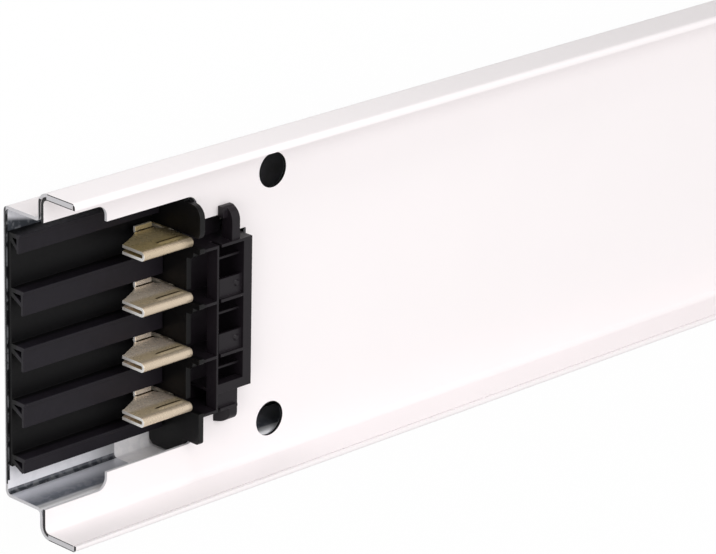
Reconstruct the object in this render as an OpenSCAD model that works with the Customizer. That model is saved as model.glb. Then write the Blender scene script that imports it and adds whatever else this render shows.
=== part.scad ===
// Busway section: a four-conductor, low-power busbar trunking length.
// A folded back channel and a web cover make a shallow sheet casing with two
// forward flanges. At the joint end a moulded tray and a connector block carry
// four hairpin contacts; at the far end the four bars come out as blades.
// The section lies on its back wall: +X along it, +Y across, +Z to the front.

/* [Casing] */
// Length of the sheet casing
casing_len = 1000; // [600:50:3000]
// Width over the two flanges
casing_w = 97; // [94:1:120]
// Depth from the back wall to the front face of the web
body_d = 16; // [15.5:0.5:20]
// Height of the flange lips above the web
flange_h = 12.3; // [8:0.1:16]
// Offset of the box side behind the outside of each flange
flange_step = 7.4; // [6.5:0.1:9]
// Sheet thickness of the back channel and the cover
sheet_t = 0.9; // [0.7:0.1:1]
// Gap between the two sheets behind the web
seam_gap = 0.3; // [0.2:0.1:0.5]
// Inside radius of the bend between web and flange
web_bend_r = 1.6; // [1:0.1:2]
// Inside radius of the lip turned over the edge of the cover
lip_r = 0.3; // [0.2:0.1:0.5]
// Inside radius of the bends of the box
box_bend_r = 1; // [0.6:0.1:1.5]

/* [Joint window] */
// Length of the full-width mouth of the window
mouth_len = 21.7; // [15:0.1:26]
// Length of the window to the end of its middle part
window_mid_len = 53.6; // [53.2:0.1:54.2]
// Corner radius of the window
window_r = 3.2; // [1:0.1:4]
// Diameter of the two joint holes in the web
hole_d = 10; // [6:0.5:11]
// Distance of the joint holes from the joint end
hole_x = 81.2; // [78:0.1:120]
// Distance between the two joint holes
hole_span = 72.4; // [64:0.1:74]

/* [Conductors] */
// Distance between neighbouring conductors
pitch = 15.75; // [15:0.25:16]
// Width of a conductor bar
bar_w = 7.5; // [6:0.5:7.5]
// Thickness of a conductor bar
bar_t = 0.9; // [0.8:0.1:1.2]
// Length of the blades beyond the far end of the casing
blade_out = 47; // [30:1:50]
// Number of combs that carry the bars inside the casing
comb_count = 4; // [2:1:8]

/* [Contacts] */
// Length of the open hairpin outside the block
hairpin_len = 17.8; // [16:0.1:22]
// Depth of a hairpin from its fold to its back edge
hairpin_d = 13.7; // [12:0.1:14]
// Length of the tongue on the back edge of a hairpin
tongue_len = 6.4; // [3:0.1:6.8]
// Height of that tongue
tongue_h = 2.1; // [1:0.1:2.4]
// Sheet thickness of a contact
leaf_t = 0.85; // [0.6:0.05:0.9]

/* [Tray] */
// Gap between the insulating tray and the connector block
tray_gap = 0.4; // [0.2:0.1:4]
// Wall thickness of the tray
tray_t = 1.2; // [1:0.1:1.4]
// Height of a shelf above the back wall of the casing
shelf_z = 7.3; // [6:0.1:7.6]
// Height of the lip that hangs from a shelf
lip_h = 6.8; // [5:0.1:6.9]

/* [Connector block] */
// Distance of the block from the joint end
block_x = 50; // [50:0.1:50.6]
// Length of the block along the section
block_len = 19.5; // [18:0.1:22]
// Height of the block above the front of the web
block_h = 4.7; // [3.5:0.1:6]
// Thickness of the bulkhead that the contacts pass through
bulkhead_t = 1.7; // [1.2:0.1:2.2]
// Thickness of the other walls of the block
block_t = 0.8; // [0.6:0.1:1]
// Width of the right border of the block
border_w = 3; // [2:0.1:4]
// Length of a latch along the section
latch_len = 4.3; // [3:0.1:5]
// Reach of a latch over the edge of the window
latch_reach = 2.6; // [1.5:0.1:4]

/* [Hidden] */
$fn = 48;
eps = 0.01;

poles = 4;
total_len = casing_len + blade_out;
box_half = casing_w / 2 - flange_step;
box_in = box_half - sheet_t;
lip_z = body_d + flange_h;
web_back = body_d - sheet_t;
ear_z = web_back - seam_gap - sheet_t;

// Vertical places of the four conductors and of what belongs to them
function pole_y(k) = (k - (poles - 1) / 2) * pitch;
// A contact is centred on its conductor and its fold stands before the web
contact_gap = bar_t + 0.1;
contact_t = contact_gap + 2 * leaf_t;
fold_z = body_d + 3;
hairpin_z = fold_z - hairpin_d;
hairpin_x = block_x - hairpin_len;

// A contact grips its bar behind the block, and its tongue stands on its back edge
neck_len = 0.2;
clip_len = 10;
clip_gap = 0.2;
tongue_end = 4.6;
tongue_rise = 1.2;

// The tray: shelves under the contacts, each with a nose and a lip that hangs down
shelf_drop = 5.1;
tray_z = sheet_t;
tray_inset = 0.6;
tray_high = pole_y(poles - 1) + pitch - shelf_drop - 0.5;
brace_drop = 3.2;
nose_out = 0.35;
nose_h = 0.8;
low_lip_h = brace_drop + tray_t - 0.3;
tray_low = pole_y(0) - shelf_drop - low_lip_h + 0.6;
top_shelf_z = shelf_z - 1.6;

// Bars: behind the pockets in the casing, and in line with the hairpins outside
bar_z = tray_z + 0.7;
blade_z = fold_z - contact_t / 2 - bar_w - 0.2;
slot_gap = 0.15;
bar_start = block_x + bulkhead_t + 0.8;
joggle_x = casing_len + 1;
joggle_len = 9;
joggle_lag = 4;
tip_cut = 1.5;
comb_t = 8;
end_comb_t = 10;

// The block: a bulkhead, and behind it ledges with pockets between them
block_end = block_x + block_len;
block_in = block_x + bulkhead_t;
block_front = body_d + block_h;
ledge_drop = contact_t / 2 + 0.8;
pocket_z = bar_z + bar_w + 0.2 + block_t;
block_top = pole_y(poles - 1) - ledge_drop;
block_low = pole_y(0) - ledge_drop - block_t;
wall_half = 2 * pitch + 2.6;
foot_half = box_in - 0.9;
foot_z = tray_z + 0.3;
foot_front = web_back - 0.2;
nose_front = block_front + 0.5;
nose_low = ledge_drop + block_t + 0.15;
nub_low = nose_low + 1.9;
nub_h = 2.6;
nub_r = 1.5;
nose_r = 0.6;
foot_r = 2.2;
high_end_r = 3.5;
low_end_r = 0.9;
window_mid_half = 2 * pitch + 4;
window_end_half = 2 * pitch - 3.5;
window_tip_half = block_top + 0.7;
window_end = block_end + 2;

// Right column of the block: a divider, a groove for a cover, sills and lintels
divider_x = block_x + 6.8;
divider_t = 0.6;
divider_d = 4;
groove_w = 1;
sill_x = divider_x + divider_t + groove_w;
sill_h = 3.3;
sill_set = 0.9;
pip_rise = 3.2;
rib_drop = 4.2;
frame_d = 3;
rib_z = block_front - frame_d;
rib_w = 0.6;
rib_d = 1;
frame_low = pole_y(0) + 2.3;
frame_h = 2.7;
step_len = 4.8;
shoulder_z = body_d - 3.8;
shoulder_half = window_end_half + 3;
latch_end = block_end - 4.1;
latch_gap = 0.1;
latch_d = block_h - 0.5 - latch_gap;
latch_r = 3.8;
arm_len = latch_len - 1.5;
head_d = 2.1;
low_latch_len = latch_len + 1.1;
low_latch_reach = latch_reach + 0.5;
low_latch_d = block_h - sill_set - latch_gap;
low_latch_r = 2.4;

// --- helpers ---

// Draws a flat shape given in (y, z) as a bar that runs along X from x0
module along(x0, len) translate([x0, 0, 0]) rotate([90, 0, 90]) linear_extrude(len) children();

// Rectangle between two corners
module area(a, b) translate(a) square([b[0] - a[0], b[1] - a[1]]);

// Rectangle between two corners with round corners
module round_area(a, b, r) {
    area([a[0] + r, a[1]], [b[0] - r, b[1]]);
    area([a[0], a[1] + r], [b[0], b[1] - r]);
    for (u = [a[0] + r, b[0] - r], v = [a[1] + r, b[1] - r]) translate([u, v]) circle(r);
}

// Quarter of a sheet bend about centre c, in the quadrant given by the signs
module bend(c, r, quadrant) translate(c) intersection() {
    difference() {
        circle(r + sheet_t);
        circle(r);
    }
    scale(quadrant) square(r + sheet_t + 1);
}

module both_sides() {
    children();
    mirror([0, 1, 0]) children();
}

module placed() translate([-total_len / 2, 0, 0]) children();

// --- casing ---

// Half of the folded section of the back channel, in (y, z)
module channel_half() {
    r = box_bend_r;
    ear_r = web_bend_r + seam_gap + sheet_t - 0.2;
    turn_y = casing_w / 2 - sheet_t - lip_r;
    turn_z = lip_z - sheet_t - lip_r;
    area([0, 0], [box_half - r - sheet_t, sheet_t]);
    bend([box_half - r - sheet_t, r + sheet_t], r, [1, -1]);
    area([box_in, r + sheet_t], [box_half, ear_z - r]);
    bend([box_half + r, ear_z - r], r, [-1, 1]);
    area([box_half + r, ear_z], [casing_w / 2 - sheet_t - ear_r, ear_z + sheet_t]);
    bend([casing_w / 2 - sheet_t - ear_r, ear_z + sheet_t + ear_r], ear_r, [1, -1]);
    area([casing_w / 2 - sheet_t, ear_z + sheet_t + ear_r], [casing_w / 2, turn_z]);
    bend([turn_y, turn_z], lip_r, [1, 1]);
    area([casing_w / 2 - 2 * sheet_t, lip_z - sheet_t], [turn_y, lip_z]);
}

module back_channel() color("whitesmoke") placed() {
    along(0, casing_len) {
        channel_half();
        mirror([1, 0]) channel_half();
    }
}

// Half of the folded section of the cover, in (y, z)
module cover_half() {
    r = web_bend_r;
    wall = casing_w / 2 - 2 * sheet_t;
    area([0, web_back], [wall - r, body_d]);
    bend([wall - r, body_d + r], r, [1, -1]);
    area([wall, body_d + r], [wall + sheet_t, lip_z - sheet_t - lip_r]);
}

// Stepped window at the joint end, cut through the web
module joint_window() translate([0, 0, web_back - 1]) linear_extrude(sheet_t + 2) {
    round_area([-10, -box_in], [mouth_len, box_in], window_r);
    round_area([-10, -window_mid_half], [window_mid_len, window_mid_half], window_r);
    round_area([-10, -window_end_half], [latch_end + 0.2, window_end_half], 0.8);
    round_area([-10, -window_tip_half], [window_end, window_tip_half], 0.4);
}

module front_cover() color("white") placed() difference() {
    along(0, casing_len) {
        cover_half();
        mirror([1, 0]) cover_half();
    }
    joint_window();
    for (s = [-1, 1]) translate([hole_x, s * hole_span / 2, web_back - 1])
        cylinder(d = hole_d, h = sheet_t + 2);
}

// --- joint tray ---

// Shelf with a hanging lip, hollow under its front edge, in (y, z)
module tray_shelf(y, front, lip) {
    back = tray_z + tray_t;
    lip_front = front - nose_out;
    lip_back = front - tray_t;
    difference() {
        polygon([[y, tray_z], [y, front], [y - nose_h, front], [y - nose_h, lip_front],
                 [y - lip, lip_front], [y - lip, lip_back],
                 [y - brace_drop - tray_t, lip_back], [y - 2 * tray_t, back],
                 [y - 2 * tray_t, tray_z]]);
        polygon([[y - tray_t, back + 0.6], [y - tray_t, lip_back],
                 [y - brace_drop, lip_back]]);
    }
}

module joint_tray() color([0.13, 0.13, 0.15]) placed()
    along(tray_inset, block_x - tray_gap - tray_inset) {
        area([tray_low, tray_z], [tray_high, tray_z + tray_t]);
        for (k = [0:poles - 1])
            tray_shelf(pole_y(k) - shelf_drop, shelf_z, k == 0 ? low_lip_h : lip_h);
        tray_shelf(tray_high, top_shelf_z, brace_drop + 2);
    }

// --- connector block ---

// Outline of the bulkhead, in (y, z): wide behind the web, with noses in front of it
module bulkhead_area() {
    low = pole_y(0);
    high = pole_y(poles - 1);
    round_area([-foot_half, foot_z], [foot_half, foot_front], foot_r);
    area([-wall_half, foot_front - 1], [wall_half, body_d]);
    for (k = [0:poles - 1]) {
        round_area([pole_y(k) - nub_low, body_d - 3], [pole_y(k), body_d + nub_h], nub_r);
        round_area([pole_y(k) - nose_low, body_d - 2], [pole_y(k), nose_front], nose_r);
    }
    round_area([high, body_d - 4], [wall_half, nose_front], high_end_r);
    round_area([-wall_half, body_d - 4], [low, nose_front], low_end_r);
}

// Passage for a contact through the bulkhead, open in front
module contact_passage(k) {
    half = contact_t / 2 + slot_gap;
    translate([block_x - 1, pole_y(k) - half, bar_z])
        cube([bulkhead_t + 2, 2 * half, nose_front + 1 - bar_z]);
}

module bulkhead() difference() {
    along(block_x, bulkhead_t) bulkhead_area();
    for (k = [0:poles - 1]) contact_passage(k);
}

// Shelf of the block, grooved beside the divider
module ledge(y, x_end) difference() {
    translate([block_in - eps, y - block_t, pocket_z - block_t])
        cube([x_end - block_in + eps, block_t, block_front - pocket_z + block_t]);
    translate([sill_x - groove_w, y - block_t - 1, block_front - divider_d])
        cube([groove_w, block_t + 2, divider_d + 1]);
}

// Front of a right-hand pocket: sill with a round pip, from its ledge up
module sill(y) {
    translate([sill_x, y - block_t, block_front - sill_set - block_t])
        cube([block_end - border_w - sill_x + eps, sill_h + ledge_drop + block_t, block_t]);
    translate([block_end - border_w - 1.9, y + pip_rise, block_front - sill_set - eps])
        cylinder(d1 = 2, d2 = 1.2, h = 0.5);
}

// Rib across a right-hand pocket, below the ledge above it
module rib(y) translate([sill_x, y - block_t - rib_drop, rib_z])
    cube([block_end - border_w - sill_x + eps, rib_w, rib_d]);

// Frame round the right column: divider, right border, foot strip and its step
module block_frame() {
    translate([divider_x, block_low, block_front - divider_d])
        cube([divider_t, block_top - block_low - eps, divider_d]);
    translate([block_end - border_w, frame_low, pocket_z - block_t])
        cube([border_w, block_top - frame_low, block_front - pocket_z + block_t]);
    translate([divider_x, frame_low, pocket_z - eps])
        cube([block_end - divider_x, block_t, block_front - pocket_z]);
    translate([divider_x, frame_low, block_front - frame_d])
        cube([block_end - divider_x, frame_h, frame_d]);
    translate([divider_x, block_low, block_front - sill_set - block_t])
        cube([block_end - step_len - divider_x, frame_low - block_low + eps, block_t]);
    translate([block_end - step_len - block_t, block_low, pocket_z - block_t])
        cube([block_t, frame_low - block_low + eps, block_front - sill_set - pocket_z + block_t]);
}

// Back of the pockets, and the legs on which the block stands in the casing
module block_back() {
    translate([block_in - eps, block_low, pocket_z - block_t])
        cube([block_len - step_len - bulkhead_t + eps, block_top - block_low, block_t]);
    translate([block_end - step_len - 1, frame_low, pocket_z - block_t])
        cube([step_len + 1, block_top - frame_low, block_t]);
    for (y = [block_low, block_top - block_t])
        translate([block_x + bulkhead_t / 2, y, tray_z])
            cube([block_len - step_len, block_t, pocket_z - tray_z]);
    for (s = [[block_top - block_t, shoulder_half], [-shoulder_half, block_low + block_t]])
        translate([block_in - eps, s[0], shoulder_z - block_t])
            cube([latch_end - block_in, s[1] - s[0], block_t]);
}

// Profile of a latch, in (y, z): a round lead-in in front, square behind
module latch_area(low, high, depth, r) {
    base = body_d + latch_gap;
    area([low, base], [high - r, base + depth]);
    intersection() {
        translate([high - r, base + depth - r]) circle(r);
        area([low, base], [high, base + depth]);
    }
    area([high - r - eps, base], [high, base + depth - r]);
}

// Latch that hooks over the end of the window: an arm with a longer head
module high_latch() {
    high = window_end_half + latch_reach;
    along(latch_end - arm_len, arm_len)
        latch_area(block_top - block_t, high, latch_d, latch_r);
    along(latch_end - latch_len, latch_len)
        latch_area(window_end_half - 0.4, high, head_d, head_d / 2);
}

// Lower latch: its front is flush with the step plate, and its left side is cut aslant
module low_latch() mirror([0, 1, 0]) difference() {
    high = window_end_half + low_latch_reach;
    base = body_d + latch_gap;
    left = latch_end - low_latch_len;
    along(left, low_latch_len) latch_area(block_top - block_t, high, low_latch_d, low_latch_r);
    translate([0, high + 1, 0]) rotate([90, 0, 0]) linear_extrude(high)
        polygon([[left - 1, base - 1], [left, base], [latch_end - arm_len, base + low_latch_d],
                 [latch_end - arm_len, base + low_latch_d + 1], [left - 1, base + low_latch_d + 1]]);
}

module connector_block() color([0.14, 0.13, 0.15]) placed() {
    bulkhead();
    block_frame();
    block_back();
    for (k = [0:poles - 1]) {
        y = pole_y(k) - ledge_drop;
        ledge(y, k == 0 ? block_end - step_len : block_end);
        if (k > 0) rib(y);
        if (k > 0 && k < poles - 1) sill(y);
    }
    high_latch();
    low_latch();
}

// --- contacts ---

// Outline of one leaf, in (x, z): tapered mouth, body, neck and rear clip
module leaf_area() {
    fold = fold_z - contact_t / 2;
    clip_front = pocket_z - block_t - clip_gap;
    clip_back = bar_z + 0.6;
    neck_x = block_x + neck_len;
    polygon([[hairpin_x, fold], [hairpin_x, fold - 0.55 * hairpin_d],
             [hairpin_x + 4.8, hairpin_z + 2.5], [hairpin_x + 7.5, hairpin_z + 0.9],
             [hairpin_x + 9.8, hairpin_z], [block_x - 4, hairpin_z + 0.6],
             [block_x, hairpin_z + 3.3],
             [block_x + 0.4, clip_back], [block_x + clip_len, clip_back],
             [block_x + clip_len, clip_front], [neck_x, clip_front], [neck_x, fold]]);
}

// Strip folded in two along its front edge
module contact(k) translate([0, pole_y(k), 0]) {
    half = contact_t / 2;
    for (y = [-half, half - leaf_t]) translate([0, y + leaf_t, 0]) rotate([90, 0, 0])
        linear_extrude(leaf_t) leaf_area();
    along(hairpin_x, hairpin_len + neck_len) translate([0, fold_z - half]) intersection() {
        difference() {
            circle(half);
            circle(half - leaf_t);
        }
        area([-half, -eps], [half, half]);
    }
    translate([block_x - tongue_end - tongue_len, half - leaf_t, hairpin_z + tongue_rise])
        cube([tongue_len, leaf_t + tongue_h, leaf_t]);
}

module contact_1() color([0.79, 0.73, 0.6]) placed() contact(0);
module contact_2() color([0.79, 0.73, 0.6]) placed() contact(1);
module contact_3() color([0.79, 0.73, 0.6]) placed() contact(2);
module contact_4() color([0.79, 0.73, 0.6]) placed() contact(3);

// --- conductors ---

// Outline of a bar in (x, z): straight in the casing, stepped forward outside
module bar_area() {
    blade_x = joggle_x + joggle_len;
    polygon([[bar_start, bar_z], [joggle_x, bar_z], [blade_x, blade_z],
             [total_len - tip_cut, blade_z], [total_len, blade_z + tip_cut],
             [total_len, blade_z + bar_w - tip_cut], [total_len - tip_cut, blade_z + bar_w],
             [blade_x - joggle_lag, blade_z + bar_w], [joggle_x, bar_z + bar_w],
             [bar_start, bar_z + bar_w]]);
}

module conductor(k) translate([0, pole_y(k) + bar_t / 2, 0]) rotate([90, 0, 0])
    linear_extrude(bar_t) bar_area();

module conductor_1() color("silver") placed() conductor(0);
module conductor_2() color("silver") placed() conductor(1);
module conductor_3() color("silver") placed() conductor(2);
module conductor_4() color("silver") placed() conductor(3);

// --- combs ---

// Cross-section of a comb with a slot for each bar, in (y, z)
module comb_area() {
    slot = bar_t / 2 + slot_gap;
    difference() {
        area([-box_in + 0.2, sheet_t], [box_in - 0.2, ear_z - box_bend_r - 0.3]);
        for (k = [0:poles - 1])
            area([pole_y(k) - slot, bar_z - slot_gap], [pole_y(k) + slot, body_d]);
        for (s = [-1, 1]) translate([s * box_in, sheet_t]) circle(box_bend_r + 0.4);
    }
}

module support_combs() color([0.2, 0.2, 0.22]) placed()
    for (i = [1:comb_count])
        along(casing_len * i / (comb_count + 1), comb_t) comb_area();

module end_comb() color([0.2, 0.2, 0.22]) placed()
    along(casing_len - end_comb_t - 1, end_comb_t) comb_area();

back_channel();
front_cover();
joint_tray();
connector_block();
contact_1();
contact_2();
contact_3();
contact_4();
conductor_1();
conductor_2();
conductor_3();
conductor_4();
support_combs();
end_comb();
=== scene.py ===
import math

import bpy
import numpy as np
from mathutils import Matrix, Vector


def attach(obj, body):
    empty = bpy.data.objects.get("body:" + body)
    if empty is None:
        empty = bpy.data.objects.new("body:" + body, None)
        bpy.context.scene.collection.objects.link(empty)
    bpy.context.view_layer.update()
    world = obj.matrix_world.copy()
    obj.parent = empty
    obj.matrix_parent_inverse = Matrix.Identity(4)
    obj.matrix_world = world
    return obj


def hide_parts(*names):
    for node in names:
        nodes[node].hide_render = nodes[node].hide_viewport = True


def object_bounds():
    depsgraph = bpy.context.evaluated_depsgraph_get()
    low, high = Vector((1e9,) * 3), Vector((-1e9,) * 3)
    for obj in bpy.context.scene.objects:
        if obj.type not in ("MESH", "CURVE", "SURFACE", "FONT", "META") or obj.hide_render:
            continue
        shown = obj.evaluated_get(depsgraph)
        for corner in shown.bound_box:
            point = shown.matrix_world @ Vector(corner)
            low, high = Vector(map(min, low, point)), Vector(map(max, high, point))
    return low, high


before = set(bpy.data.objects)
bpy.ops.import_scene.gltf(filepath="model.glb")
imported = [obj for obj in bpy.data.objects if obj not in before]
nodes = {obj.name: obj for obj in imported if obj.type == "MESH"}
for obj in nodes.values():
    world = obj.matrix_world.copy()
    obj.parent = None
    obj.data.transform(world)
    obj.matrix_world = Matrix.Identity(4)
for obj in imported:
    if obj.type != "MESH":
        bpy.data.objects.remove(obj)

cad_low, cad_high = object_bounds()
MM = 0.001

# --- Camera --------------------------------------------------------------------
# The section lies on its back and the camera looks down on the joint end with a
# long lens, so that the web's length runs away up to the right.

joint_end = cad_low.x
cam_data = bpy.data.cameras.new("camera")
cam_data.sensor_width = 36
cam_data.lens = 218.56
cam_data.clip_start = 0.05
cam_data.clip_end = 20
camera = bpy.data.objects.new("camera", cam_data)
bpy.context.scene.collection.objects.link(camera)
pitch, yaw, roll = math.radians(20.49), math.radians(44.92), math.radians(-1.21)
turn = (Matrix.Rotation(roll, 3, "Z") @ Matrix.Rotation(pitch, 3, "X")
        @ Matrix.Rotation(yaw, 3, "Y"))
camera.matrix_world = Matrix.Translation(
    (joint_end - 684.41 * MM, 419.86 * MM, 817.18 * MM)) @ turn.transposed().to_4x4()
bpy.context.scene.camera = camera

# --- Floor and light ------------------------------------------------------------
# A white floor that shows as plain white, with the soft shadow of the section on it,
# under an even sky, a wide soft lamp above, one before the joint end and a small one
# beside it.

reach = 6.0
floor_mesh = bpy.data.meshes.new("floor")
floor_mesh.from_pydata(
    [(-reach, -reach, 0), (reach, -reach, 0), (reach, reach, 0), (-reach, reach, 0)],
    [], [(0, 1, 2, 3)])
floor = bpy.data.objects.new("floor", floor_mesh)
floor.location.z = -0.4 * MM
bpy.context.scene.collection.objects.link(floor)


def node_material(name):
    """New node material: returns it with its nodes, its link maker and its Principled shader."""
    material = bpy.data.materials.new(name)
    material.use_nodes = True
    tree = material.node_tree
    return material, tree.nodes, tree.links.new, tree.nodes["Principled BSDF"]


def calculation(n, link, operation, *values):
    """Math node on sockets or plain numbers: returns its output socket."""
    step = n.new("ShaderNodeMath")
    step.operation = operation
    for socket, value in zip(step.inputs, values):
        if isinstance(value, (int, float)):
            socket.default_value = value
        else:
            link(value, socket)
    return step.outputs[0]


floor_paper, n, link, shader = node_material("floor_paper")
shader.inputs["Base Color"].default_value = (0.4, 0.4, 0.4, 1)
shader.inputs["Roughness"].default_value = 0.9
shader.inputs["Specular IOR Level"].default_value = 0.1
glow = n.new("ShaderNodeEmission")
glow.inputs["Color"].default_value = (1, 1, 1, 1)
glow.inputs["Strength"].default_value = 1.02
path = n.new("ShaderNodeLightPath")
seen = calculation(n, link, "MAXIMUM",
                   path.outputs["Is Camera Ray"], path.outputs["Is Glossy Ray"])
blend = n.new("ShaderNodeMixShader")
link(calculation(n, link, "MULTIPLY", seen, 0.96), blend.inputs[0])
link(shader.outputs[0], blend.inputs[1])
link(glow.outputs[0], blend.inputs[2])
link(blend.outputs[0], n["Material Output"].inputs["Surface"])
floor_mesh.materials.append(floor_paper)

world = bpy.data.worlds.new("studio")
world.use_nodes = True
world.node_tree.nodes["Background"].inputs["Color"].default_value = (1, 1, 1, 1)
world.node_tree.nodes["Background"].inputs["Strength"].default_value = 0.69
bpy.context.scene.world = world


def soft_lamp(name, place, target, size, power):
    """Square area lamp at place, facing target; both in metres."""
    data = bpy.data.lights.new(name, "AREA")
    data.size = size
    data.energy = power
    lamp = bpy.data.objects.new(name, data)
    lamp.location = place
    lamp.rotation_mode = "QUATERNION"
    lamp.rotation_quaternion = (Vector(target) - Vector(place)).to_track_quat("-Z", "Y")
    lamp.visible_camera = False
    bpy.context.scene.collection.objects.link(lamp)


soft_lamp("overhead", (joint_end + 0.1, 0.75, 1.85), (joint_end + 0.15, 0, 0), size=1.4, power=16)
soft_lamp("front", (joint_end - 1.2, 0.1, 0.35), (joint_end, 0, 0.01), size=0.9, power=5)
soft_lamp("side", (joint_end, 0.27, 0.11), (joint_end + 0.03, 0, 0.02), size=0.12, power=0.17)

# --- Back channel ----------------------------------------------------------------
# Folded sheet steel, galvanised inside and finished white outside. The lips of its
# flanges are turned over the cover, and its cut edges are bare.

SHEET = 0.9 * MM
body_front = 16 * MM
ear_bend = 12.9 * MM
half_width = cad_high.y
box_half = half_width - 7.4 * MM
box_in = box_half - SHEET
blade_out = 47 * MM
end_face = (joint_end - MM, joint_end + 0.04 * MM)
far_face = (cad_high.x - blade_out - 0.04 * MM, cad_high.x - blade_out + MM)


def along_axes(n):
    """The X, Y and Z sockets of the Object coordinates."""
    place = n.new("ShaderNodeTexCoord")
    split = n.new("ShaderNodeSeparateXYZ")
    n.id_data.links.new(place.outputs["Object"], split.inputs[0])
    return place.outputs["Object"], split.outputs


def within(n, link, value, low, high):
    """1 where value lies between low and high, and 0 elsewhere."""
    return calculation(n, link, "COMPARE", value, (low + high) / 2, (high - low) / 2)


def above(n, link, value, bound):
    """1 where value is over bound, and 0 elsewhere."""
    return calculation(n, link, "GREATER_THAN", value, bound)


def below(n, link, value, bound):
    """1 where value is under bound, and 0 elsewhere."""
    return calculation(n, link, "LESS_THAN", value, bound)


def both(n, link, first, second):
    """Product of two masks: what they share."""
    return calculation(n, link, "MULTIPLY", first, second)


def either(n, link, first, second):
    """The greater of two masks: what they cover together."""
    return calculation(n, link, "MAXIMUM", first, second)


def fade(n, link, value, start, end, low=0.0, high=1.0):
    """Smooth change from low at start to high at end."""
    step = n.new("ShaderNodeMapRange")
    step.interpolation_type = "SMOOTHSTEP"
    link(value, step.inputs["Value"])
    for name, number in (("From Min", start), ("From Max", end), ("To Min", low), ("To Max", high)):
        step.inputs[name].default_value = number
    return step.outputs[0]


def coloured(n, link, under, over, share):
    """Colour over laid on colour under, by a mask; each is a socket or three numbers."""
    mix = n.new("ShaderNodeMix")
    mix.data_type = "RGBA"
    link(share, mix.inputs["Factor"])
    for socket, colour in ((mix.inputs["A"], under), (mix.inputs["B"], over)):
        if isinstance(colour, tuple):
            socket.default_value = (*colour, 1)
        else:
            link(colour, socket)
    return mix.outputs["Result"]


def grain(n, link, coordinate, size):
    """Noise with the given size in metres, at the given coordinate."""
    noise = n.new("ShaderNodeTexNoise")
    noise.inputs["Scale"].default_value = 1 / size
    noise.inputs["Detail"].default_value = 2
    link(coordinate, noise.inputs["Vector"])
    return noise.outputs[0]


def relief(n, link, shader, height, strength, depth):
    """Bump with the given strength and depth on the shader's normal."""
    bump = n.new("ShaderNodeBump")
    bump.inputs["Strength"].default_value = strength
    bump.inputs["Distance"].default_value = depth
    link(height, bump.inputs["Height"])
    link(bump.outputs[0], shader.inputs["Normal"])


def white_paint(n, link, place):
    """Colour of the white finish, with a faint and broad change of shade."""
    return coloured(n, link, PAINT, tuple(0.98 * c for c in PAINT), grain(n, link, place, 30 * MM))


def lip_outline(n, link, width):
    """Thin shaded outline of the sheared flange: its outer and inner 0.25 mm."""
    outer = above(n, link, width, half_width - 0.25 * MM)
    inner = below(n, link, width, half_width - 2 * SHEET + 0.25 * MM)
    return either(n, link, outer, inner)


def dress(name, material):
    """Give the material to the whole CAD node of this name."""
    nodes[name].data.materials.clear()
    nodes[name].data.materials.append(material)


PAINT = (0.905, 0.858, 0.864)
LINER = (0.93, 0.91, 0.92)
ZINC_PALE = (0.74, 0.745, 0.79)
ZINC_SHADE = (0.15, 0.165, 0.20)
ZINC_EAR = (0.75, 0.75, 0.77)
ZINC_GROUND_LIT = (0.84, 0.83, 0.87)
ZINC_NEAR_BLOCK_SHADE = (0.30, 0.30, 0.31)
CORNER_SHADE = (0.05, 0.055, 0.065)
LOW_CORNER_SHADE = (0.10, 0.105, 0.12)
CUT_STEEL = (0.61, 0.60, 0.62)
CUT_OUTLINE = (0.05, 0.049, 0.052)
CUT_SHADE = (0.007, 0.007, 0.008)

channel_finish, n, link, shader = node_material("white_paint_over_zinc")
place, axis = along_axes(n)
width = calculation(n, link, "ABSOLUTE", axis["Y"])
spangle = grain(n, link, place, 2.2 * MM)

# The bare inside: the back wall, the box sides and the ears up to their bends.
over = above(n, link, axis["Z"], SHEET - 0.05 * MM)
wall = below(n, link, width, box_in + 0.05 * MM)
turned = calculation(n, link, "SUBTRACT", axis["Z"], width)
turned = above(n, link, turned, ear_bend - box_in - 0.3 * MM)
turned = both(n, link, turned, below(n, link, width, box_half + 2 * MM))
inside = both(n, link, over, either(n, link, wall, turned))

# Painted shade and light on the bare zinc: the box sides darken towards the ears, the back
# wall carries painted light and is darker near the block, with a painted shadow along its
# upper side, and it is painted dark in its corners and along the joint end.
ground = below(n, link, axis["Z"], SHEET + 0.12 * MM)
zinc_and_shading = coloured(n, link, ZINC_PALE, ZINC_SHADE, fade(n, link, axis["Z"], 1.5 * MM, 11 * MM))
zinc_and_shading = coloured(n, link, zinc_and_shading, ZINC_EAR, fade(n, link, axis["Z"], ear_bend - 1.1 * MM, ear_bend))
# Painted light: the back wall is lighter than the box sides.
zinc_and_shading = coloured(n, link, zinc_and_shading, ZINC_GROUND_LIT, ground)
# Painted shade: the back wall darkens near the block.
near_block_shade = fade(n, link, axis["X"], joint_end + 26 * MM, joint_end + 37 * MM, 0, 0.8)
zinc_and_shading = coloured(n, link, zinc_and_shading, ZINC_NEAR_BLOCK_SHADE, both(n, link, ground, near_block_shade))
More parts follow.
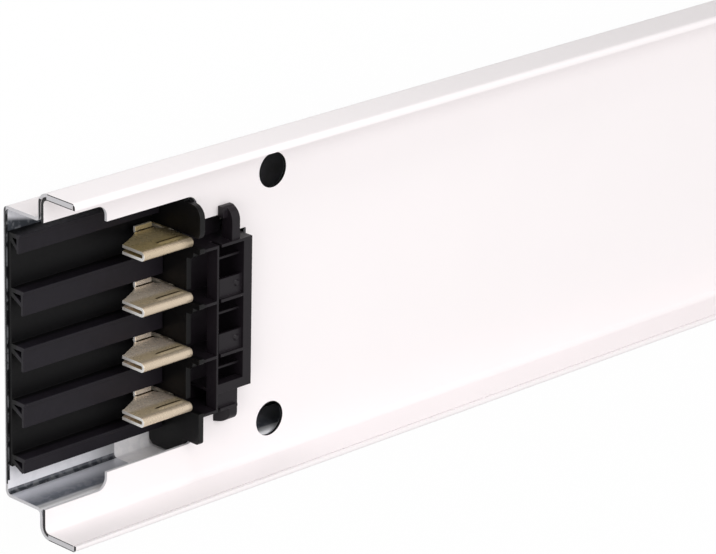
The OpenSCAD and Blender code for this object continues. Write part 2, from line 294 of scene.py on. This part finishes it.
# Painted shadow along the back wall's upper side, slanting along x.
slope = 0.22
aslant = calculation(n, link, "MULTIPLY_ADD", axis["X"], slope, axis["Y"])
high_shadow = fade(n, link, aslant, slope * joint_end + 38.2 * MM, slope * joint_end + 36.6 * MM)
high_shadow = both(n, link, high_shadow, above(n, link, axis["Y"], 0))
zinc_and_shading = coloured(n, link, zinc_and_shading, CORNER_SHADE, both(n, link, ground, high_shadow))
corner = within(n, link, axis["Z"], SHEET + 0.1 * MM, SHEET + 1.1 * MM)
zinc_and_shading = coloured(n, link, zinc_and_shading, CORNER_SHADE, corner)
low_strip = below(n, link, axis["Y"], 1.25 * MM - box_in)
zinc_and_shading = coloured(n, link, zinc_and_shading, LOW_CORNER_SHADE, both(n, link, ground, low_strip))
liner = within(n, link, axis["X"], joint_end + 37.6 * MM, joint_end + 53 * MM)
zinc_and_shading = coloured(n, link, zinc_and_shading, LINER, liner)
end_strip = within(n, link, axis["X"], joint_end, joint_end + 0.7 * MM)
end_strip = both(n, link, end_strip, above(n, link, axis["Y"], -36.5 * MM))
zinc_and_shading = coloured(n, link, zinc_and_shading, CUT_SHADE, both(n, link, end_strip, ground))
flecks = calculation(n, link, "MULTIPLY", fade(n, link, spangle, 0.45, 0.6), 0.18)
zinc_and_shading = coloured(n, link, zinc_and_shading, tuple(0.86 * c for c in ZINC_PALE), flecks)

# The sheared joint end: bare steel, with a painted shade outline on the flanges and painted
# shade on the back wall's cut, on the upper ear and at the lips' ends.
shade = both(n, link, lip_outline(n, link, width),
             above(n, link, axis["Z"], body_front + 1.5 * MM))
steel_and_shade = coloured(n, link, CUT_STEEL, CUT_OUTLINE, shade)
low_edge = within(n, link, axis["Z"], 0.35 * MM, SHEET + 0.05 * MM)
low_edge = both(n, link, low_edge, above(n, link, axis["Y"], -37.5 * MM))
steel_and_shade = coloured(n, link, steel_and_shade, CUT_SHADE, low_edge)
high_ear = both(n, link, fade(n, link, axis["Z"], 13.9 * MM, 14.25 * MM),
                within(n, link, axis["Y"], box_in, half_width - 2 * MM))
steel_and_shade = coloured(n, link, steel_and_shade, CUT_SHADE, high_ear)
lip_end = both(n, link, above(n, link, axis["Z"], cad_high.z - 0.75 * MM),
               below(n, link, width, half_width - 0.4 * MM))
steel_and_shade = coloured(n, link, steel_and_shade, CUT_SHADE, lip_end)

skin = coloured(n, link, white_paint(n, link, place), zinc_and_shading, inside)
skin = coloured(n, link, skin, steel_and_shade, within(n, link, axis["X"], *end_face))
skin = coloured(n, link, skin, CUT_STEEL, within(n, link, axis["X"], *far_face))
link(skin, shader.inputs["Base Color"])
plain = either(n, link, liner, ground)
bare = calculation(n, link, "SUBTRACT", inside, both(n, link, inside, plain))
link(calculation(n, link, "MULTIPLY", bare, 0.6), shader.inputs["Metallic"])
link(fade(n, link, spangle, 0.3, 0.7, 0.32, 0.42), shader.inputs["Roughness"])
shader.inputs["Specular IOR Level"].default_value = 0.25
relief(n, link, shader, grain(n, link, place, 0.5 * MM), 0.05, 0.05 * MM)
dress("back_channel", channel_finish)

# --- Front cover ------------------------------------------------------------------
# The web, a second folded sheet that lies in the channel, finished white. The stepped
# window and the two joint holes are punched after coating, so their edges are bare, and
# painted shade darkens the hole edges and the web's cut at the joint end.

UNDERSIDE = (0.42, 0.43, 0.46)

cover_finish, n, link, shader = node_material("white_paint")
place, axis = along_axes(n)
width = calculation(n, link, "ABSOLUTE", axis["Y"])
under = below(n, link, axis["Z"], body_front - SHEET + 0.02 * MM)
paint = coloured(n, link, white_paint(n, link, place), UNDERSIDE, under)
punched = within(n, link, axis["Z"], body_front - SHEET + 0.02 * MM, body_front - 0.02 * MM)
punched = both(n, link, punched, below(n, link, width, box_half + 1.5 * MM))
ends = within(n, link, axis["X"], *end_face)
web_end = both(n, link, ends, below(n, link, axis["Z"], body_front + 1.2 * MM))
hole_edge = above(n, link, axis["X"], joint_end + 74 * MM)
# Painted shade: an outline on the flanges' cut, and near black on the web's cut at the joint end
# and on the hole edges.
steel_and_shade = coloured(n, link, CUT_STEEL, CUT_OUTLINE, both(n, link, ends, lip_outline(n, link, width)))
steel_and_shade = coloured(n, link, steel_and_shade, CUT_SHADE, either(n, link, web_end, hole_edge))
skin = coloured(n, link, paint, steel_and_shade, either(n, link, punched, ends))
skin = coloured(n, link, skin, CUT_STEEL, within(n, link, axis["X"], *far_face))
link(skin, shader.inputs["Base Color"])
haze = fade(n, link, grain(n, link, place, 6 * MM), 0.3, 0.7, 0.34, 0.42)
link(haze, shader.inputs["Roughness"])
shader.inputs["Specular IOR Level"].default_value = 0.25
relief(n, link, shader, grain(n, link, place, 0.5 * MM), 0.06, 0.05 * MM)
dress("front_cover", cover_finish)

# --- Joint tray --------------------------------------------------------------------
# One black moulding of glass-filled polyamide: a floor with a shelf under each contact
# and one above them, each with a hanging lip. It is pushed into the channel's end.


def eased(n, link, radius):
    """Edges rounded by radius in the shading, as a moulded edge is."""
    edge = n.new("ShaderNodeBevel")
    edge.samples = 6
    edge.inputs["Radius"].default_value = radius
    link(edge.outputs[0], n["Bump"].inputs["Normal"])


def black_moulding(name, colour, gloss, roughness, deep):
    """Black moulded plastic with a fine erosion grain and eased edges, and painted shade. Deep
    holds the letter of an axis, where the painted shade is darkest along it, and where the
    plastic has its full colour."""
    material, n, link, shader = node_material(name)
    place, axis = along_axes(n)
    mottled = coloured(n, link, colour, tuple(1.5 * c for c in colour),
                       grain(n, link, place, 3 * MM))
    letter, darkest, full = deep
    # Painted shade: the plastic darkens towards the deep end of the given axis.
    black_and_shade = coloured(n, link, tuple(0.15 * c for c in colour), mottled,
                     fade(n, link, axis[letter], darkest, full))
    link(black_and_shade, shader.inputs["Base Color"])
    satin = fade(n, link, grain(n, link, place, 1.2 * MM), 0.3, 0.7,
                 roughness - 0.04, roughness + 0.04)
    link(satin, shader.inputs["Roughness"])
    shader.inputs["Specular IOR Level"].default_value = gloss
    relief(n, link, shader, grain(n, link, place, 0.25 * MM), 0.15, 0.03 * MM)
    eased(n, link, 0.22 * MM)
    return material


# Painted shade darkens the tray deep in its bays, under 4.4 mm.
dress("joint_tray", black_moulding("black_moulding", (0.0085, 0.007, 0.010), gloss=0.2,
                                   roughness=0.45, deep=("Z", 3.6 * MM, 4.4 * MM)))

# --- Connector block ----------------------------------------------------------------
# One black moulding: a bulkhead that the contacts pass through, and behind it ledges
# and pockets with round pips. Two latches hook it over the end of the window.

# Painted shade darkens the block towards its bulkhead, from 54 mm in to 51 mm.
block_deep = ("X", joint_end + 51 * MM, joint_end + 54 * MM)
dress("connector_block", black_moulding("block_moulding", (0.0075, 0.0055, 0.0075), gloss=0.28,
                                        roughness=0.42, deep=block_deep))

# --- Contacts -------------------------------------------------------------------
# Four strips of tin-plated brass, each stamped, folded in two along its front edge and
# pushed through the bulkhead, where its rear end clips over the bar. A tongue stands up
# at the back edge, and a pressed bead stiffens the upper leaf.

LEAF = 0.85 * MM
PITCH = 15.75 * MM
hairpin_x = joint_end + 32.2 * MM
bulkhead_x = joint_end + 50 * MM
fold_z = 19 * MM
half_gap = 0.5 * MM + LEAF / 2
fold_centre = fold_z - half_gap - LEAF / 2
bead_x, bead_half = joint_end + 44.2 * MM, 3.2 * MM
bead_z, bead_height, bead_spread = 16.1 * MM, 0.3 * MM, 0.5 * MM
shade_line_z, shade_line_spread = bead_z - 0.75 * MM, 0.6 * MM
tongue_x = (joint_end + 41.7 * MM, joint_end + 47.6 * MM)
tongue_back, tongue_tip, tongue_bend = 4.3 * MM, 2.6 * MM, 0.65 * MM


def grid_faces(rows, columns, first):
    """Quads of a grid whose points are stored row by row from number first, with the faces'
    front to +row x +column."""
    corner = (np.arange(rows - 1)[:, None] * columns + np.arange(columns - 1)).ravel() + first
    return np.stack([corner, corner + 1, corner + columns + 1, corner + columns], axis=1)


def surface(name, grids):
    """Mesh object from several grids of points, each an array of rows by columns by 3."""
    points, faces, first = [], [], 0
    for grid in grids:
        points.append(grid.reshape(-1, 3))
        faces.append(grid_faces(grid.shape[0], grid.shape[1], first))
        first += grid.shape[0] * grid.shape[1]
    mesh = bpy.data.meshes.new(name)
    mesh.from_pydata(np.concatenate(points).tolist(), [], np.concatenate(faces).tolist())
    mesh.polygons.foreach_set("use_smooth", np.ones(len(mesh.polygons), dtype=bool))
    mesh.update()
    piece = bpy.data.objects.new(name, mesh)
    bpy.context.scene.collection.objects.link(piece)
    return piece


def back_edge(x):
    """Height of the leaf's back edge at x: a tapered mouth, a straight run under the tongue and
    a rise at the neck."""
    along = np.array([0, 1.4, 6.8, 9.0, 15.3, 15.5, 17.5, 18.2]) * MM
    height = np.array([10.2, 9.7, 6.8, 5.0, 5.0, 6.6, 7.9, 8.5]) * MM
    return np.interp(x - hairpin_x, along, height)


def folded_leaf(middle):
    """Folded strip about y = middle: at each x it runs up the lower leaf from the back edge,
    round a half circle of radius half_gap about the fold's centre, and down the upper leaf.
    The bead is a ridge of bell section along a straight line on the upper leaf; a mask of
    painted shade along a line behind it comes back too, from 0 to 1."""
    x = np.linspace(hairpin_x, bulkhead_x - 0.3 * MM, 60)
    back = back_edge(x)
    up = np.linspace(0, 1, 60)[:, None]
    arc = np.linspace(0, math.pi, 17)[1:-1, None]
    ones = np.ones_like(x)
    rise = back + (fold_centre - back) * up
    z = np.concatenate([rise, fold_centre + half_gap * np.sin(arc) * ones, rise[::-1]])
    y = np.concatenate([-half_gap * np.ones_like(rise), -half_gap * np.cos(arc) * ones,
                        half_gap * np.ones_like(rise)])
    beyond = np.clip(abs(x - bead_x) - bead_half, 0, None) / 2.5
    bead = np.exp(-((beyond ** 2 + (z - bead_z) ** 2) / bead_spread ** 2))
    shade_line = np.exp(-((beyond ** 2 + (z - shade_line_z) ** 2) / shade_line_spread ** 2))
    y = y + np.where(y > half_gap * 0.999, bead_height * bead, 0)
    return np.stack([np.broadcast_to(x, z.shape), y + middle, z], axis=2), shade_line


def rear_clip(middle, side):
    """Flat rear end of one leaf, which grips the bar behind the bulkhead."""
    x = np.linspace(bulkhead_x - 0.6 * MM, bulkhead_x + 10 * MM, 6)
    z = np.linspace(9.1 * MM, 2.2 * MM, 5)[:, None]
    if side < 0:
        z = z[::-1]
    y = np.full((5, 6), middle + side * half_gap)
    return np.stack([np.broadcast_to(x, (5, 6)), y, np.broadcast_to(z, (5, 6))], axis=2)


def tongue(middle):
    """Tongue about y = middle, carried along a path: from the upper leaf, round a quarter turn
    about an axis along x and straight up from the leaf. Its mask of painted shade is 1 in the
    lower half of the bend and 0 elsewhere."""
    turn = np.linspace(0, math.pi / 2, 9)
    root = half_gap + 0.03 * MM
    flight = np.linspace(root + tongue_bend, tongue_tip, 5)[1:]
    y = np.concatenate([[root], root + tongue_bend * (1 - np.cos(turn)), flight])
    z = np.concatenate([[tongue_back + 2 * tongue_bend],
                        tongue_back + tongue_bend * (1 - np.sin(turn)),
                        tongue_back * np.ones_like(flight)])
    x = np.linspace(*tongue_x, 16) + np.zeros((len(y), 1))
    shade_line = np.where(np.arange(len(y)) < 5, 1.0, 0.0)[:, None] + np.zeros_like(x)
    return np.stack([x, np.broadcast_to((y + middle)[:, None], x.shape),
                     np.broadcast_to(z[:, None], x.shape)], axis=2), shade_line


TIN = (0.96, 0.82, 0.68)
TIN_BRIGHT = (1.0, 0.89, 0.76)
TIN_NECK_SHADE = (0.74, 0.63, 0.54)
TIN_FRONT_BROWN = (0.62, 0.49, 0.28)
TIN_FOLD = (0.67, 0.555, 0.425)
TIN_BULKHEAD_SHADE = (0.10, 0.08, 0.05)
BRASS_SHADE = (0.50, 0.39, 0.17)
CREASE_SHADE = (0.03, 0.018, 0.005)
RIM = (0.86, 0.84, 0.80)
RIM_BRIGHT = (0.97, 0.96, 0.95)
RIM_IN_SHADE = (0.45, 0.43, 0.42)
RIM_REAR_BROWN = (0.42, 0.37, 0.30)
RIM_SHADE = (0.25, 0.23, 0.20)

contact_metal, n, link, shader = node_material("contact_metal")
place, axis = along_axes(n)
tin_and_shading = coloured(n, link, TIN, TIN_BRIGHT, grain(n, link, place, 4 * MM))
# Painted shade: the leaves darken along their necks towards the bulkhead.
neck = fade(n, link, axis["X"], hairpin_x + 9 * MM, bulkhead_x - 2 * MM)
tin_and_shading = coloured(n, link, tin_and_shading, TIN_NECK_SHADE, neck)
# The leaves are darker and browner from 11.5 mm up towards the fold.
tin_and_shading = coloured(n, link, tin_and_shading, TIN_FRONT_BROWN, fade(n, link, axis["Z"], 11.5 * MM, 14 * MM, 0, 0.75))
tin_and_shading = coloured(n, link, tin_and_shading, TIN_FOLD, fade(n, link, axis["Z"], 16 * MM, 18 * MM))

# Painted shade: the uppermost contact is painted darker and browner, but for its fold.
top_contact_shade = fade(n, link, axis["Y"], 14 * MM, 22 * MM, 0.05, 0.85)
top_contact_shade = both(n, link, top_contact_shade, fade(n, link, axis["Z"], 18.4 * MM, 17.2 * MM, 0.2, 1))
tin_and_shading = coloured(n, link, tin_and_shading, BRASS_SHADE, top_contact_shade)

# Painted shade: the necks darken before the bulkhead, from further out on the uppermost contact.
bulkhead_shade = both(n, link, fade(n, link, axis["Y"], 16 * MM, 20 * MM),
               fade(n, link, axis["X"], bulkhead_x - 5.5 * MM, bulkhead_x - MM, 0, 0.8))
bulkhead_shade = either(n, link, bulkhead_shade,
                 fade(n, link, axis["X"], bulkhead_x - 2 * MM, bulkhead_x, 0, 0.8))
bulkhead_shade = both(n, link, bulkhead_shade, fade(n, link, axis["Z"], 5.2 * MM, 6.4 * MM))
bulkhead_shade = both(n, link, bulkhead_shade, fade(n, link, axis["Z"], 18.2 * MM, 16.8 * MM, 0.6, 1))
tin_and_shading = coloured(n, link, tin_and_shading, TIN_BULKHEAD_SHADE, bulkhead_shade)

# Painted shade along the bead's crease and under the tongue's bend, from the strip's mask.
shade_line = n.new("ShaderNodeAttribute")
shade_line.attribute_name = "shade_line"
shade_line = fade(n, link, shade_line.outputs["Fac"], 0.1, 0.55)
link(coloured(n, link, tin_and_shading, CREASE_SHADE, shade_line), shader.inputs["Base Color"])
link(fade(n, link, shade_line, 0, 1, 0.5, 0), shader.inputs["Metallic"])
polish = fade(n, link, grain(n, link, place, 2 * MM), 0.3, 0.7, 0.24, 0.32)
polish = calculation(n, link, "ADD", polish, calculation(n, link, "MULTIPLY", shade_line, 0.7))
link(polish, shader.inputs["Roughness"])
shader.inputs["Specular IOR Level"].default_value = 0.08
lay = n.new("ShaderNodeMapping")
lay.inputs["Scale"].default_value = (0.12, 1, 1)
link(place, lay.inputs["Vector"])
relief(n, link, shader, grain(n, link, lay.outputs[0], 0.9 * MM), 0.03, 0.03 * MM)

sheared_metal, n, link, shader = node_material("sheared_metal")
place, axis = along_axes(n)
# Painted light and shade on the rims: lit near the fold and at the tongue, dim elsewhere, and in
# shade on the uppermost contact's upper leaf.
rim_highlight = either(n, link, fade(n, link, axis["Z"], 11 * MM, 18 * MM),
                fade(n, link, axis["Z"], 6.6 * MM, 5.8 * MM))
rim = coloured(n, link, RIM, RIM_BRIGHT, grain(n, link, place, 0.8 * MM))
rim = coloured(n, link, RIM_IN_SHADE, rim, rim_highlight)
rim = coloured(n, link, rim, RIM_SHADE, fade(n, link, axis["Y"], 23.8 * MM, 24.3 * MM, 0, 0.7))
# The rims are darker and browner from 10.6 mm past the hairpin on.
rear_rims = fade(n, link, axis["X"], hairpin_x + 9.6 * MM, hairpin_x + 10.6 * MM)
link(coloured(n, link, rim, RIM_REAR_BROWN, rear_rims), shader.inputs["Base Color"])
shader.inputs["Metallic"].default_value = 0.1
shader.inputs["Roughness"].default_value = 0.35

for k in range(1, 5):
    middle = (k - 2.5) * PITCH
    leaf, leaf_shade_line = folded_leaf(middle)
    curl, curl_shade_line = tongue(middle)
    strip = surface(f"contact_strip_{k}",
                    [leaf, rear_clip(middle, -1), rear_clip(middle, 1), curl])
    shade_line = np.zeros(len(strip.data.vertices))
    shade_line[:leaf_shade_line.size] = leaf_shade_line.ravel()
    shade_line[-curl_shade_line.size:] = curl_shade_line.ravel()
    strip.data.attributes.new("shade_line", "FLOAT", "POINT").data.foreach_set("value", shade_line)
    strip.data.materials.append(contact_metal)
    strip.data.materials.append(sheared_metal)
    sheet = strip.modifiers.new("sheet", "SOLIDIFY")
    sheet.thickness = LEAF
    sheet.offset = 0
    sheet.material_offset_rim = 1
    sheet.use_even_offset = True
    burr = strip.modifiers.new("rim", "BEVEL")
    burr.width = 0.12 * MM
    burr.segments = 2
    burr.limit_method = "ANGLE"
    burr.angle_limit = math.radians(50)
    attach(strip, "root")
    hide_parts(f"contact_{k}")

# --- Conductors ---------------------------------------------------------------------
# Four drawn bars of tin-plated aluminium that stand on edge and come out at the far
# end as blades with chamfered tips. Fine draw lines run along them.

BAR = (0.62, 0.61, 0.58)
BAR_BRIGHT = (0.74, 0.73, 0.70)

bar_metal, n, link, shader = node_material("bar_metal")
place, axis = along_axes(n)
lines = n.new("ShaderNodeMapping")
lines.inputs["Scale"].default_value = (0.02, 1, 1)
link(place, lines.inputs["Vector"])
drawn = grain(n, link, lines.outputs[0], 0.3 * MM)
link(coloured(n, link, BAR, BAR_BRIGHT, drawn), shader.inputs["Base Color"])
shader.inputs["Metallic"].default_value = 0.9
link(fade(n, link, drawn, 0.3, 0.7, 0.28, 0.38), shader.inputs["Roughness"])
relief(n, link, shader, drawn, 0.12, 0.02 * MM)
for k in range(1, 5):
    dress(f"conductor_{k}", bar_metal)

# --- Combs ----------------------------------------------------------------------
# Grey moulded combs that hold the bars apart inside the casing, and a closing one at
# the far end.

# Painted shade darkens the combs next to the back wall, under the sheet's thickness.
comb_grey = black_moulding("grey_moulding", (0.045, 0.045, 0.05), gloss=0.4, roughness=0.5,
                           deep=("Z", 0.5 * MM, SHEET))
for name in ("support_combs", "end_comb"):
    dress(name, comb_grey)

# --- Close ----------------------------------------------------------------------

bpy.context.scene.view_settings.view_transform = "Standard"
